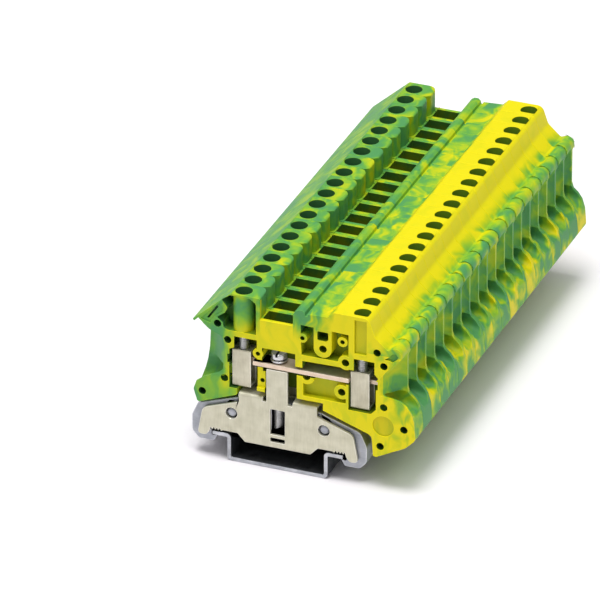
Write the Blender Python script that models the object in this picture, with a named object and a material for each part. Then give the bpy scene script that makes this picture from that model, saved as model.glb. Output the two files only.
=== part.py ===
"""A row of protective-earth screw terminal blocks clamped side by side on a 35 mm top-hat rail.

X runs across the rail, +Y runs along it from the open front block to the closed back of the row, +Z is up
and the rail's underside is at Z = 0. Sections are drawn in millimetres from the rail's centre line and the
front face of the front block; one parent empty moves them all to the object's own origin.
"""

import math

import bmesh
import bpy
from mathutils import Matrix

MM = 0.001

# The row
BLOCKS = 20
PITCH = 6.2
SLICE = 6.0  # one housing along the rail; the rest of the pitch is air
ROW = BLOCKS * PITCH
LEFT_END, RIGHT_END = -23.5, 36.8  # the clamp foot's left edge and the right lower lip

# The rail: top-hat section, 35 x 7.5 x 1
RAIL_HALF, HAT_HALF, RAIL_HEIGHT, SHEET = 17.5, 13.5, 7.5, 1.0

# The housing
TOP = 47.6
WALL = 0.8  # the closed wall on the +Y side of each slice
DEPTH = SLICE - WALL  # how far the open side reaches in
SKIN = 0.7  # the thin wall in front of the wire funnels
SHAFT_Y = 2.7  # all screw axes lie in this plane of the slice
LEFT_SHAFT, RIGHT_SHAFT, EARTH_SHAFT = -9.9, 21.8, -0.5
SHAFT_HOLE, SHAFT_TUBE = 2.2, 2.65
SHELF_LOW, SHELF_HIGH = 35.6, 37.1
SHANK_HOLE = 1.5
BRIDGE_FLOOR = 41.7  # top edge of the wall in front of the bridge shaft
PEG_HOLE, PIN_HOLE = 1.0, 0.6
PEG_DEPTH, PIN_DEPTH = 3.2, 3.0
ROOM_BACK = DEPTH - 0.03  # the rooms leave a film's thickness to the funnels behind the same wall
ROOM_LIP = 0.5  # thickness of the front lip that narrows the clamp rooms above the cages
EYELET, PIN_RIM = 1.4, 0.05  # the eyelet's radius and how far bosses stand behind the front face

# The clamps
CAGE_HALF, CAGE_FRONT, CAGE_BACK = 2.5, 0.8, 4.9
CAGE_LOW, CAGE_HIGH, CAGE_SHEET, CAGE_LID = 21.2, 31.6, 0.5, 1.6
CLAMP_THREAD, CLAMP_HEAD = 1.15, 1.95
BAR_LOW, BAR_HIGH = 28.3, 29.5
BAR_LEFT, BAR_RIGHT = -12.9, 26.3
BAR_FRONT, BAR_BACK = 0.2, 4.9  # its full width, between the cages
BAR_NARROW_FRONT, BAR_NARROW_BACK = 2.0, 3.9  # its width where it passes through the cages
BAR_NARROW_LEFT, BAR_NARROW_RIGHT = -6.7, 19.0
CLAMP_HEAD_HEIGHT, EARTH_HEAD_HEIGHT = 2.0, 1.6
SLOT_HALF, CLAMP_SLOT, EARTH_SLOT = 0.3, 0.9, 0.8  # half width and depths of the driver slots
CLEAR = 0.3

# The foot
PLATE_FRONT, PLATE_BACK, PLATE_SHEET = 0.1, 5.8, 0.8
CLAMP_FRONT, CLAMP_BACK = 1.2, 4.7
NECK_LEFT, NECK_RIGHT, NECK_TOP = -3.0, 2.7, 28.0
SHOULDER = 19.8
EARTH_THREAD, EARTH_HEAD, WASHER, WASHER_HEIGHT = 1.3, 2.0, 2.15, 0.5
EARTH_TIP = 9.9
RIVET_X, RIVET_Z, RIVET = 12.4, 13.5, 1.25
RIVET_SUNK = 0.3  # the rivets end this far inside the sheets' outer faces
BEND_HALF = (4.1, 10.1)  # the bends that join the two sheets run between these distances from the middle
WINDOW_HALF = 1.95

# Where cutters start in front of the face and end behind the slice
BEFORE, BEYOND = -1.0, 9.0


def clear_scene():
    for item in list(bpy.data.objects):
        bpy.data.objects.remove(item, do_unlink=True)


def material(name, colour, roughness, metallic=0.0):
    made = bpy.data.materials.new(name)
    made.use_nodes = True
    shader = made.node_tree.nodes["Principled BSDF"]
    shader.inputs["Base Color"].default_value = (*colour, 1.0)
    shader.inputs["Roughness"].default_value = roughness
    shader.inputs["Metallic"].default_value = metallic
    return made


def rounded(corners, steps=3):
    """The outline through the corners; a corner given as (x, z, radius) becomes an arc of that many steps."""
    points = []
    for i, corner in enumerate(corners):
        x, z = corner[:2]
        if len(corner) == 2:
            points.append((x, z))
            continue
        before, after = corners[i - 1], corners[(i + 1) % len(corners)]
        to_before = math.atan2(before[1] - z, before[0] - x)
        to_after = math.atan2(after[1] - z, after[0] - x)
        turn = (to_after - to_before + math.pi) % (2 * math.pi) - math.pi
        reach = corner[2] / math.sin(abs(turn) / 2)
        middle = to_before + turn / 2
        centre_x, centre_z = x + reach * math.cos(middle), z + reach * math.sin(middle)
        start = to_before - math.copysign(math.pi / 2, turn)
        sweep = math.copysign(math.pi - abs(turn), -turn)
        for step in range(steps + 1):
            angle = start + sweep * step / steps
            points.append((centre_x + corner[2] * math.cos(angle), centre_z + corner[2] * math.sin(angle)))
    return points


def mirrored(right_half):
    """A closed outline from its right half, listed from the top middle round to the bottom middle."""
    left_half = [(-corner[0], *corner[1:]) for corner in reversed(right_half)]
    return right_half + left_half


def disc(x, z, radius, segments=16):
    turn = 2 * math.pi / segments
    return [(x + radius * math.cos(i * turn), z + radius * math.sin(i * turn)) for i in range(segments)]


def box_outline(left, right, low, high):
    return [(left, low), (right, low), (right, high), (left, high)]


def add_prism(shape, outline, front, back):
    """Extrudes an outline in the XZ plane along Y, inside an open bmesh."""
    near = [shape.verts.new((x * MM, front * MM, z * MM)) for x, z in outline]
    far = [shape.verts.new((x * MM, back * MM, z * MM)) for x, z in outline]
    faces = [shape.faces.new(near), shape.faces.new(far[::-1])]
    for i in range(len(outline)):
        j = (i + 1) % len(outline)
        faces.append(shape.faces.new((near[j], near[i], far[i], far[j])))
    bmesh.ops.recalc_face_normals(shape, faces=faces)


def add_turned(shape, x, y, profile, segments=20):
    """Turns (radius, z) pairs about the vertical axis at x, y; the profile starts and ends on the axis."""
    rings = []
    for radius, z in profile:
        if radius == 0:
            rings.append([shape.verts.new((x * MM, y * MM, z * MM))])
            continue
        turn = 2 * math.pi / segments
        rings.append([
            shape.verts.new((
                (x + radius * math.cos(i * turn)) * MM,
                (y + radius * math.sin(i * turn)) * MM,
                z * MM,
            ))
            for i in range(segments)
        ])
    faces = []
    for lower, upper in zip(rings, rings[1:]):
        for i in range(segments):
            j = (i + 1) % segments
            if len(lower) == 1:
                faces.append(shape.faces.new((lower[0], upper[j], upper[i])))
            elif len(upper) == 1:
                faces.append(shape.faces.new((lower[i], lower[j], upper[0])))
            else:
                faces.append(shape.faces.new((lower[i], lower[j], upper[j], upper[i])))
    bmesh.ops.recalc_face_normals(shape, faces=faces)


def new_object(name, shape, look=None, smooth=False):
    mesh = bpy.data.meshes.new(name)
    shape.to_mesh(mesh)
    shape.free()
    if smooth:
        mesh.shade_smooth()
        mesh.set_sharp_from_angle(angle=math.radians(30))
    made = bpy.data.objects.new(name, mesh)
    bpy.context.scene.collection.objects.link(made)
    if look:
        mesh.materials.append(look)
    return made


def prism(name, outline, front, back, look=None):
    shape = bmesh.new()
    add_prism(shape, outline, front, back)
    return new_object(name, shape, look)


def turned(name, x, y, profile, look=None, segments=20):
    shape = bmesh.new()
    add_turned(shape, x, y, profile, segments)
    return new_object(name, shape, look, smooth=True)


def rod(radius, low, high):
    return [(0, low), (radius, low), (radius, high), (0, high)]


def combine(target, operation, tools, label):
    """Cuts or joins a group of hidden helper solids with one Boolean."""
    group = bpy.data.collections.new(f"{target.name}_{label}")
    bpy.context.scene.collection.children.link(group)
    for tool in tools:
        bpy.context.scene.collection.objects.unlink(tool)
        group.objects.link(tool)
        tool.hide_render = True
        tool.display_type = "WIRE"
    boolean = target.modifiers.new(label, "BOOLEAN")
    boolean.operation = operation
    boolean.operand_type = "COLLECTION"
    boolean.collection = group
    boolean.solver = "EXACT"


def settle(target):
    """Applies the target's modifiers, so that copies can share its mesh and move freely."""
    bpy.context.view_layer.update()
    graph = bpy.context.evaluated_depsgraph_get()
    finished = bpy.data.meshes.new_from_object(target.evaluated_get(graph))
    finished.name = target.name
    target.modifiers.clear()
    target.data = finished


def place(item, parent, x=0.0, y=0.0, z=0.0):
    """Moves the object's own origin to a point of the row's section frame, leaving its shape where it is."""
    item.data.transform(Matrix.Translation((-x * MM, -y * MM, -z * MM)))
    item.location = (x * MM, y * MM, z * MM)
    item.parent = parent


def repeat_along_rail(second, name, parent):
    """Puts the second block's piece and its copies, which share its mesh, one pitch apart."""
    for number in range(2, BLOCKS + 1):
        item = second
        if number > 2:
            item = bpy.data.objects.new(f"{name}_{number:02d}", second.data)
            bpy.context.scene.collection.objects.link(item)
        item.location.y = (number - 1) * PITCH * MM
        item.parent = parent


# ---------------------------------------------------------------------------------------------- housing

def housing_outline(steps=2):
    """The closed wall's section: wings, lower lips, shaft columns, bridge channel and marking groove."""
    left = [
        (-4.6, TOP, 0.6), (-12.4, TOP, 0.5), (-22.7, 38.4, 0.15), (-22.3, 37.9), (-21.2, 39.0), (-19.9, 37.8),
        (-19.9, 33.0), (-20.1, 28.6), (-20.6, 25.2), (-21.3, 22.4), (-22.6, 18.6, 1.5), (-21.5, 15.0, 0.6),
        (-10.9, 19.1), (-10.9, 21.3),
    ]
    right = [
        (12.2, 21.3), (12.2, 19.3), (25.2, 14.8, 1.6), (25.6, 9.1), (26.5, 9.0), (34.2, 13.0, 3.0),
        (RIGHT_END, 15.6, 1.4), (36.4, 20.4), (35.6, 23.0), (34.5, 24.6), (33.2, 25.7), (32.7, 27.4),
        (32.7, 36.6), (33.4, 38.2), (33.2, 39.5), (32.4, 40.4), (31.5, 40.7), (30.5, 40.4), (29.4, 39.8),
        (25.9, 42.9, 1.5), (24.1, TOP, 0.8), (15.0, TOP, 0.3), (13.4, 46.0), (8.1, 45.7), (8.0, 45.1),
        (7.5, 45.1), (7.3, 46.0), (6.6, 46.5), (5.6, 46.5), (4.8, 46.0), (4.2, 45.0),
        (4.2, BRIDGE_FLOOR), (-4.6, BRIDGE_FLOOR),
    ]
    return rounded([*left, *right], steps)


def funnel_cutters():
    """The wire entries: open to the front above the lower lips, and a trough behind a thin skin below."""
    left_mouth = [
        (-40.0, 37.8), (-19.9, 37.8), (-18.0, 36.2), (-15.2, 35.4), (-14.5, 32.5), (-14.2, 30.6),
        (-12.9, 30.2),
        (-12.9, 25.9), (-19.6, 22.6), (-21.4, 21.2), (-40.0, 10.0),
    ]
    right_mouth = [
        (26.3, 26.4), (30.0, 26.3), (32.6, 25.9), (34.4, 24.7), (45.0, 16.0), (45.0, 49.9), (33.4, 38.3),
        (27.4, 31.8), (26.9, 30.4), (26.3, 30.2),
    ]
    left_trough = [(-12.8, 27.0), (-12.8, 22.9), (-17.0, 22.4), (-20.4, 20.6), (-24.0, 17.0), (-24.0, 27.0)]
    right_trough = [(26.2, 27.0), (26.2, 22.9), (32.0, 23.3), (35.0, 22.2), (40.0, 18.0), (40.0, 27.0)]
    return [
        prism("left_funnel_mouth", left_mouth, BEFORE, DEPTH),
        prism("right_funnel_mouth", right_mouth, BEFORE, DEPTH),
        prism("left_funnel_trough", left_trough, SKIN, DEPTH - 0.01),
        prism("right_funnel_trough", right_trough, SKIN, DEPTH - 0.01),
    ]


def shank_cutters():
    """The holes in the shelves for the clamp screws' shanks."""
    return [
        turned(f"{side}_shank_bore", x, SHAFT_Y, rod(SHANK_HOLE, 33.0, SHELF_HIGH + 1), segments=16)
        for side, x in (("left", LEFT_SHAFT), ("right", RIGHT_SHAFT))
    ]


def top_cutters():
    """The screwdriver shafts down to the shelves, and the bridge shaft."""
    cutters = [
        turned(f"{side}_shaft_bore", x, SHAFT_Y, rod(SHAFT_HOLE, SHELF_HIGH, TOP + 2), segments=16)
        for side, x in (("left", LEFT_SHAFT), ("right", RIGHT_SHAFT))
    ]
    shape = bmesh.new()
    add_prism(shape, box_outline(-4.2, 3.8, 33.0, TOP), 0.9, DEPTH - 0.02)
    cutters.append(new_object("bridge_shaft", shape))
    return cutters


def clamp_cavities():
    """The rooms for cages, current bar, earth screw and the neck of the foot, all open to the front."""
    left_room = [
        (-12.9, 20.9), (-5.5, 20.9), (-5.5, SHELF_LOW), (-11.6, SHELF_LOW), (-11.6, 32.4), (-12.9, 31.8),
    ]
    right_room = [
        (19.0, 20.9), (25.0, 20.9), (26.3, 22.3), (26.3, 30.3), (26.9, 31.2), (25.9, 32.3), (25.9, SHELF_LOW),
        (20.4, SHELF_LOW), (20.4, 32.3), (19.0, 32.3),
    ]
    rooms = {
        "left_room": left_room,
        "right_room": right_room,
        "screw_room": box_outline(-4.1, 4.8, 27.0, 33.8),
        "neck_room": box_outline(-3.4, 5.2, 20.0, 28.4),
        "bar_room": box_outline(-13.4, 26.8, 27.9, 30.3),
    }
    cutters = [prism(name, outline, BEFORE, ROOM_BACK) for name, outline in rooms.items()]
    lifts = {
        "left_lift_room": box_outline(-12.9, -5.5, 30.0, SHELF_LOW),
        "right_lift_room": box_outline(19.0, 25.9, 30.0, SHELF_LOW),
    }
    cutters += [prism(name, outline, ROOM_LIP, ROOM_BACK) for name, outline in lifts.items()]
    return cutters


def face_pockets():
    """The moulded recesses of the open front face, with their depths."""
    shaft_pocket = [
        (-12.6, 47.0), (-14.9, 45.4), (-13.3, 43.3), (-14.0, 41.8), (-16.2, 40.2), (-14.6, 38.9),
        (-14.4, 37.6), (-13.3, SHELF_HIGH), (-5.7, SHELF_HIGH), (-5.7, 45.6), (-6.6, 46.7),
    ]
    upper_recess = [(6.5, 34.0), (19.0, 34.0), (19.0, 42.0), (6.2, 42.4)]
    slot = [(6.7, 30.2), (19.2, 30.2), (19.2, 32.2), (17.0, 32.5), (6.7, 32.3)]
    lower_recess = [(6.9, 22.5), (18.3, 22.5), (18.3, 28.4), (6.9, 28.4)]
    web_recess = [(-5.6, 22.4), (-3.2, 22.4), (-3.2, 28.4), (-5.6, 28.4)]
    shaft_panel = [(20.6, 37.2), (23.8, 37.2), (23.8, 46.6), (20.6, 46.6)]
    wing_slot = [(-18.8, 39.6), (-18.4, 39.4), (-15.9, 43.0), (-16.2, 43.3)]
    return [
        prism("shaft_pocket", shaft_pocket, BEFORE, 4.4),
        prism("upper_recess", upper_recess, BEFORE, 3.6),
        prism("bar_slot", slot, BEFORE, 4.6),
        prism("lower_recess", lower_recess, BEFORE, 1.6),
        prism("web_recess", web_recess, BEFORE, 0.7),
        prism("shaft_panel", shaft_panel, BEFORE, 0.22),
        prism("wing_slot", wing_slot, BEFORE, 1.4),
        prism("mould_mark", disc(28.3, 18.1, 2.9, 24), BEFORE, 0.12),
    ]


def face_bosses():
    """The left screw's tube and the round bosses that stand in the recesses, flush with the front rim."""
    discs = [(6.7, 38.7, 1.25), (17.4, 39.7, 1.35), (18.2, 34.0, 2.0), (7.8, 28.0, 2.1), (17.2, 25.5, 2.0)]
    back = DEPTH + CLEAR
    bosses = [
        prism(f"boss_{i}", disc(x, z, radius, 20), PIN_RIM, back)
        for i, (x, z, radius) in enumerate(discs)
    ]
    pocket_boss = rounded([
        (9.7, 43.0), (9.7, 34.3, 2.35), (14.5, 34.3, 2.35), (14.5, 43.0),
    ], steps=5)
    bosses.append(prism("pocket_boss", pocket_boss, PIN_RIM, back))
    tube = rod(SHAFT_TUBE, SHELF_HIGH - 0.4, TOP - 0.3)
    bosses.append(turned("left_tube", LEFT_SHAFT, SHAFT_Y, tube, segments=28))
    return bosses


def peg_holes():
    """Holes of the front face that take a cover's pegs, plus the smaller ones in the bosses."""
    pegs = [
        (-16.0, 38.4), (-13.3, 34.3), (-13.3, 23.3), (-20.2, 18.4), (26.6, 38.5), (28.4, 35.0),
        (28.4, 23.4), (33.8, 18.1), (27.5, 12.2), (18.2, 34.0), (7.8, 28.0), (17.2, 25.5), (12.2, 36.7),
    ]
    small = [(6.7, 38.7), (17.4, 39.7), (-5.2, 31.9), (-4.2, 24.3)]
    cutters = [
        prism(f"peg_hole_{i}", disc(x, z, PEG_HOLE, 12), BEFORE, PEG_DEPTH)
        for i, (x, z) in enumerate(pegs)
    ]
    cutters += [
        prism(f"pin_hole_{i}", disc(x, z, PIN_HOLE, 8), BEFORE, PIN_DEPTH)
        for i, (x, z) in enumerate(small)
    ]
    cutters.append(prism("boss_pocket", box_outline(10.7, 13.6, 39.0, 41.5), BEFORE, PEG_DEPTH + 0.2))
    return cutters


def make_front_housing(parent, look):
    body = prism("front_housing", housing_outline(), 0.0, SLICE, look)
    eyelet = prism("eyelet", disc(-5.2, 31.9, EYELET, 12), PIN_RIM, DEPTH + CLEAR)
    combine(body, "DIFFERENCE", funnel_cutters() + face_pockets(), "pockets")
    combine(body, "UNION", face_bosses(), "bosses")
    combine(body, "DIFFERENCE", clamp_cavities(), "rooms")
    combine(body, "UNION", [eyelet], "eyelet")
    combine(body, "DIFFERENCE", top_cutters() + shank_cutters() + peg_holes(), "holes")
    settle(body)
    body.parent = parent


def make_rear_housings(parent, look):
    """Every further slice shows only its outline, its wire funnels and its openings on top."""
    body = prism("housing_02", housing_outline(steps=1), 0.0, SLICE, look)
    combine(body, "DIFFERENCE", funnel_cutters() + top_cutters(), "openings")
    settle(body)
    repeat_along_rail(body, "housing", parent)


# ------------------------------------------------------------------------------------------------- foot

def plate_outline():
    """The contact foot's sheet: shoulders, sloped arms, side legs, rail teeth and the flat between."""
    right_half = [
        (10.5, SHOULDER, 0.4), (10.5, 17.1, 0.3), (20.2, 13.7, 2.2), (21.6, 6.0, 0.9), (19.3, 6.0, 0.8),
        (18.4, 7.1),
    ]
    tooth_pitch, tooth_low, tooth_high = 0.8, 7.8, 8.5
    for tooth in range(4):
        x = 18.0 - tooth * tooth_pitch
        right_half += [(x, tooth_high), (x - tooth_pitch / 2, tooth_low)]
    right_half += [(14.7, 8.1), (10.8, 8.1, 0.4), (8.8, 6.0, 0.4)]
    return rounded(mirrored(right_half), steps=2)


def make_contact_foot(parent, look):
    sheet = plate_outline()
    foot = prism("contact_foot", sheet, PLATE_FRONT, PLATE_FRONT + PLATE_SHEET, look)
    back_sheet = prism("back_sheet", sheet, PLATE_BACK - PLATE_SHEET, PLATE_BACK)
    bend_low, bend_high = SHOULDER - PLATE_SHEET, SHOULDER - 0.02
    inner, outer = BEND_HALF
    inside = 0.2  # how far the bends reach into the sheets they join
    joined = [back_sheet]
    for side, left, right in (("left", -outer, -inner), ("right", inner, outer)):
        section = box_outline(left, right, bend_low, bend_high)
        joined.append(prism(f"{side}_bend", section, PLATE_FRONT + inside, PLATE_BACK - inside))
    neck = box_outline(NECK_LEFT, NECK_RIGHT, 18.0, NECK_TOP)
    joined.append(prism("neck", neck, PLATE_FRONT + 0.01, PLATE_FRONT + PLATE_SHEET - 0.01))
    combine(foot, "UNION", joined, "bends")
    left_notch = [(-4.0, 25.0), (-4.0, 18.6, 0.4), (NECK_LEFT, 18.6, 0.4), (NECK_LEFT, 25.0)]
    right_notch = [(NECK_RIGHT, 25.0), (NECK_RIGHT, 18.6, 0.4), (4.0, 18.6, 0.4), (4.0, 25.0)]
    shoulder_gap = box_outline(NECK_LEFT - 0.2, NECK_RIGHT + 0.2, 18.0, 25.0)
    cutters = [
        prism("left_notch", rounded(left_notch), BEFORE, BEYOND),
        prism("right_notch", rounded(right_notch), BEFORE, BEYOND),
        prism("window", box_outline(-WINDOW_HALF, WINDOW_HALF, 9.6, 16.8), BEFORE, BEYOND),
        prism("window_foot", box_outline(-WINDOW_HALF, WINDOW_HALF, 7.5, 8.7), BEFORE, BEYOND),
        prism("back_shoulder_gap", shoulder_gap, PLATE_FRONT + PLATE_SHEET + CLEAR, BEYOND),
    ]
    for side, x in (("left", -RIVET_X), ("right", RIVET_X)):
        hole = disc(x, RIVET_Z, RIVET + CLEAR, 16)
        cutters.append(prism(f"{side}_rivet_hole", hole, BEFORE, BEYOND))
    combine(foot, "DIFFERENCE", cutters, "holes")
    settle(foot)
    foot.parent = parent


def clamp_corners():
    """The clamp foot: sloped arms, side legs, hooks under the rail's flanges, and the thread hub."""
    right_half = [
        (3.2, 18.6), (3.2, 18.0), (11.2, 17.8), (21.8, 14.3, 1.8), (23.5, 10.5), (23.5, 6.0, 1.6),
        (21.6, 4.0, 1.2), (17.6, 4.0, 0.9), (16.4, 6.1), (17.3, 6.1), (18.0, 5.3, 0.3), (18.0, 9.3, 0.4),
        (10.4, 9.3, 0.4), (8.6, 6.3),
    ]
    return mirrored(right_half)


def make_clamp_feet(parent, look):
    foot = prism("clamp_foot", rounded(clamp_corners(), steps=2), CLAMP_FRONT, CLAMP_BACK, look)
    bore = rod(EARTH_THREAD + 0.15, 15.0, 20.0)
    cutters = [
        prism("thread_window", box_outline(-2.05, 1.55, 7.4, 16.4), BEFORE, BEYOND),
        turned("thread_bore", EARTH_SHAFT, SHAFT_Y, bore, segments=16),
    ]
    for side, x in (("left", -RIVET_X), ("right", RIVET_X)):
        half = RIVET + CLEAR
        travel_slot = rounded([
            (x - half, 11.8, 1.3), (x + half, 11.8, 1.3), (x + half, 16.6, 1.3), (x - half, 16.6, 1.3),
        ])
        cutters.append(prism(f"{side}_travel_slot", travel_slot, BEFORE, BEYOND))
    combine(foot, "DIFFERENCE", cutters, "slots")
    settle(foot)
    foot.parent = parent
    plain_outline = [corner[:2] for corner in clamp_corners()]
    plain_foot = prism("clamp_foot_02", plain_outline, CLAMP_FRONT, CLAMP_BACK, look)
    repeat_along_rail(plain_foot, "clamp_foot", parent)


def make_rivets(parent, look):
    front, back = PLATE_FRONT + RIVET_SUNK, PLATE_BACK - RIVET_SUNK
    for side, x in (("left", -RIVET_X), ("right", RIVET_X)):
        rivet = prism(f"{side}_rivet", disc(x, RIVET_Z, RIVET, 16), front, back, look)
        rivet.data.shade_smooth()
        rivet.data.set_sharp_from_angle(angle=math.radians(30))
        rivet.parent = parent


# ----------------------------------------------------------------------------------------------- clamps

def make_current_bar(parent, look):
    """Flat bar: full width between the cages, narrowed to pass through them."""
    plan = [
        (BAR_LEFT, BAR_NARROW_FRONT), (BAR_NARROW_LEFT, BAR_NARROW_FRONT), (BAR_NARROW_LEFT, BAR_FRONT),
        (BAR_NARROW_RIGHT, BAR_FRONT), (BAR_NARROW_RIGHT, BAR_NARROW_FRONT), (BAR_RIGHT, BAR_NARROW_FRONT),
        (BAR_RIGHT, BAR_NARROW_BACK), (BAR_NARROW_RIGHT, BAR_NARROW_BACK), (BAR_NARROW_RIGHT, BAR_BACK),
        (BAR_NARROW_LEFT, BAR_BACK), (BAR_NARROW_LEFT, BAR_NARROW_BACK), (BAR_LEFT, BAR_NARROW_BACK),
    ]
    shape = bmesh.new()
    low = [shape.verts.new((x * MM, y * MM, BAR_LOW * MM)) for x, y in plan]
    face = shape.faces.new(low)
    raised = bmesh.ops.extrude_face_region(shape, geom=[face])["geom"]
    tops = [item for item in raised if isinstance(item, bmesh.types.BMVert)]
    bmesh.ops.translate(shape, verts=tops, vec=(0, 0, (BAR_HIGH - BAR_LOW) * MM))
    bmesh.ops.recalc_face_normals(shape, faces=shape.faces)
    bar = new_object("current_bar", shape, look)
    hole = turned("bar_hole", EARTH_SHAFT, SHAFT_Y, rod(EARTH_THREAD + CLEAR, BAR_LOW - 1, BAR_HIGH + 1))
    combine(bar, "DIFFERENCE", [hole], "hole")
    settle(bar)
    bar.parent = parent


def make_cage(name, x, parent, look):
    """A sleeve of bent sheet, open along X for the wire, with a thick threaded lid."""
    sleeve = rounded([
        (x - CAGE_HALF, CAGE_LOW, 0.5), (x + CAGE_HALF, CAGE_LOW, 0.5), (x + CAGE_HALF, CAGE_HIGH),
        (x - CAGE_HALF, CAGE_HIGH),
    ])
    cage = prism(name, sleeve, CAGE_FRONT, CAGE_BACK, look)
    wire_low, wire_high = CAGE_LOW + CAGE_SHEET + 0.2, CAGE_HIGH - CAGE_LID
    opening = box_outline(x - 4, x + 4, wire_low, wire_high)
    wire_space = prism(f"{name}_space", opening, CAGE_FRONT + CAGE_SHEET, CAGE_BACK - CAGE_SHEET)
    thread = rod(CLAMP_THREAD + 0.2, wire_high - 1, CAGE_HIGH + 1)
    bore = turned(f"{name}_bore", x, SHAFT_Y, thread, segments=16)
    combine(cage, "DIFFERENCE", [wire_space, bore], "openings")
    settle(cage)
    place(cage, parent, x, SHAFT_Y, CAGE_LOW)


def slot_cutter(name, x, low):
    return prism(name, box_outline(x - SLOT_HALF, x + SLOT_HALF, low, low + 4), BEFORE, BEYOND)


def make_clamp_screw(name, x, parent, look):
    """Cheese-head screw: its tip bears on the bar and its head turns on the housing's shelf."""
    tip, head_low = BAR_HIGH + CLEAR, SHELF_HIGH + CLEAR
    head_high = head_low + CLAMP_HEAD_HEIGHT
    profile = [
        (0, tip), (CLAMP_THREAD * 0.7, tip), (CLAMP_THREAD, tip + 0.4), (CLAMP_THREAD, head_low),
        (CLAMP_HEAD, head_low), (CLAMP_HEAD, head_high - 0.3), (CLAMP_HEAD - 0.3, head_high), (0, head_high),
    ]
    screw = turned(name, x, SHAFT_Y, profile, look)
    combine(screw, "DIFFERENCE", [slot_cutter(f"{name}_slot", x, head_high - CLAMP_SLOT)], "slot")
    settle(screw)
    place(screw, parent, x, SHAFT_Y, tip)


def make_earth_screw(parent, look):
    washer_low = BAR_HIGH + CLEAR
    washer_high = washer_low + WASHER_HEIGHT
    disc_profile = rod(WASHER, washer_low, washer_high)
    ring = turned("earth_washer", EARTH_SHAFT, SHAFT_Y, disc_profile, look, segments=24)
    through = rod(EARTH_THREAD + 0.2, washer_low - 1, washer_high + 1)
    hole = turned("washer_hole", EARTH_SHAFT, SHAFT_Y, through)
    combine(ring, "DIFFERENCE", [hole], "hole")
    settle(ring)
    ring.parent = parent
    head_low = washer_high + CLEAR
    head_high = head_low + EARTH_HEAD_HEIGHT
    profile = [
        (0, EARTH_TIP), (EARTH_THREAD * 0.75, EARTH_TIP), (EARTH_THREAD, EARTH_TIP + 0.4),
        (EARTH_THREAD, head_low), (EARTH_HEAD, head_low), (EARTH_HEAD, head_high - 0.6),
        (EARTH_HEAD - 0.5, head_high - 0.1), (0, head_high),
    ]
    screw = turned("earth_screw", EARTH_SHAFT, SHAFT_Y, profile, look, segments=24)
    combine(screw, "DIFFERENCE", [slot_cutter("earth_slot", EARTH_SHAFT, head_high - EARTH_SLOT)], "slot")
    settle(screw)
    place(screw, parent, EARTH_SHAFT, SHAFT_Y, EARTH_TIP)


# ------------------------------------------------------------------------------------------------- rail

def make_rail(parent, look):
    inner = HAT_HALF - SHEET
    right_half = [
        (inner, SHEET, 0.4), (inner, RAIL_HEIGHT, 1.0), (RAIL_HALF, RAIL_HEIGHT),
        (RAIL_HALF, RAIL_HEIGHT - SHEET),
        (HAT_HALF, RAIL_HEIGHT - SHEET, 0.3), (HAT_HALF, 0.0, 1.2),
    ]
    rail = prism("din_rail", rounded(mirrored(right_half)), 0.0, ROW, look)
    rail.parent = parent


def main():
    clear_scene()
    row = bpy.data.objects.new("row", None)
    bpy.context.scene.collection.objects.link(row)
    row.location = (-(LEFT_END + RIGHT_END) / 2 * MM, -ROW / 2 * MM, 0.0)

    polyamide = material("green_yellow_polyamide", (0.62, 0.70, 0.04), 0.42)
    tin = material("tinned_brass", (0.72, 0.68, 0.57), 0.34, 0.85)
    zinc = material("zinc_plated_steel", (0.52, 0.54, 0.58), 0.36, 0.9)
    copper_alloy = material("tinned_copper_bar", (0.76, 0.66, 0.55), 0.32, 0.9)
    bright = material("bright_steel_screw", (0.78, 0.78, 0.76), 0.22, 1.0)
    galvanised = material("galvanised_rail_steel", (0.45, 0.46, 0.48), 0.38, 0.9)

    make_rail(row, galvanised)
    make_front_housing(row, polyamide)
    make_rear_housings(row, polyamide)
    make_contact_foot(row, tin)
    make_clamp_feet(row, zinc)
    make_rivets(row, zinc)
    make_current_bar(row, copper_alloy)
    make_cage("left_cage", LEFT_SHAFT, row, tin)
    make_cage("right_cage", RIGHT_SHAFT, row, tin)
    make_clamp_screw("left_clamp_screw", LEFT_SHAFT, row, bright)
    make_clamp_screw("right_clamp_screw", RIGHT_SHAFT, row, bright)
    make_earth_screw(row, bright)


main()
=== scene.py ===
"""Looks of a row of green and yellow protective-earth terminal blocks on a top-hat rail.

Sections are drawn in millimetres: X from the rail's centre line, Y from the front face of the front block
along the rail, Z from the rail's underside. at() turns such a point into the frame's own metres.
"""

import math

import bmesh
import bpy
from mathutils import Matrix, Vector


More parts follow.
